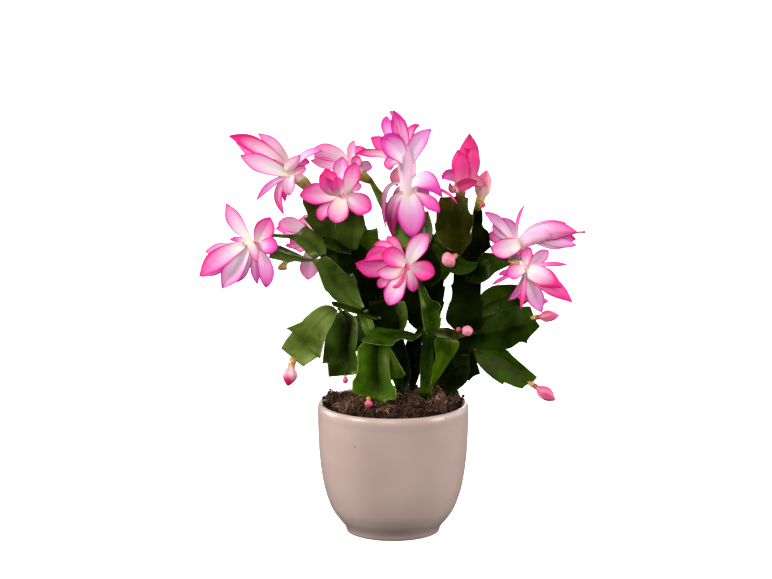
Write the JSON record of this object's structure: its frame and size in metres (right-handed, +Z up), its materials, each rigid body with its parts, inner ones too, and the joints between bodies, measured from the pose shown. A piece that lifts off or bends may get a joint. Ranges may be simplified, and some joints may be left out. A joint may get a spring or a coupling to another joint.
{
  "type": "potted christmas cactus",
  "caption": "Potted christmas cactus: leafy stems of flat toothed segments with pink two-tier flowers and buds, standing in a plain rounded ceramic pot of soil.",
  "frame": {"origin": "middle of the pot's flat foot, on the surface it stands on", "axes": "+Z up along the pot's axis, -Y towards the side the plant shows in front, +X to the right seen from there"},
  "size_m": [0.2641, 0.1389, 0.2981],
  "materials": {
    "pot_ceramic": "satin greige glaze, plain",
    "soil_fibre": "loose dark potting soil with coir fibres",
    "segment_green": "waxy dark green plant segments with paler edges",
    "petal_pink": "soft petals, creamy white at the base, pink to magenta at the edges",
    "petal_rose": "soft petals, deep rose",
    "bud_salmon": "closed buds, salmon pink with a yellow-green base"
  },
  "bodies": {
    "root": {"pot": "pot_ceramic", "soil": "soil_fibre", "stem_main": "segment_green", "stem_right": "segment_green", "stem_left": "segment_green", "stem_rear_left": "segment_green", "stem_rear": "segment_green", "stem_rear_low": "segment_green", "bloom_upper_left": "petal_pink", "bloom_left": "petal_pink", "bloom_front_left": "petal_pink", "bloom_behind_left": "petal_pink", "bloom_top": "petal_pink", "bloom_upper_right": "petal_rose", "bloom_right": "petal_pink", "bloom_lower_right": "petal_pink", "bloom_front": "petal_pink", "bloom_rear_left": "petal_pink", "bloom_rear_right": "petal_pink", "bloom_rear_low": "petal_pink", "bud_round_middle": "bud_salmon", "bud_tall_right": "bud_salmon", "bud_small_right": "bud_salmon", "bud_right": "bud_salmon", "bud_behind_right": "bud_salmon", "bud_low_right": "bud_salmon", "bud_tiny_middle": "bud_salmon", "bud_round_low": "bud_salmon", "bud_low_left": "bud_salmon", "bud_small_left": "bud_salmon", "bud_small_front": "bud_salmon", "bud_orange_left": "bud_salmon", "bud_rear_right": "bud_salmon", "bud_rear_middle": "bud_salmon", "bud_rear_left": "bud_salmon"}
  },
  "joints": []
}
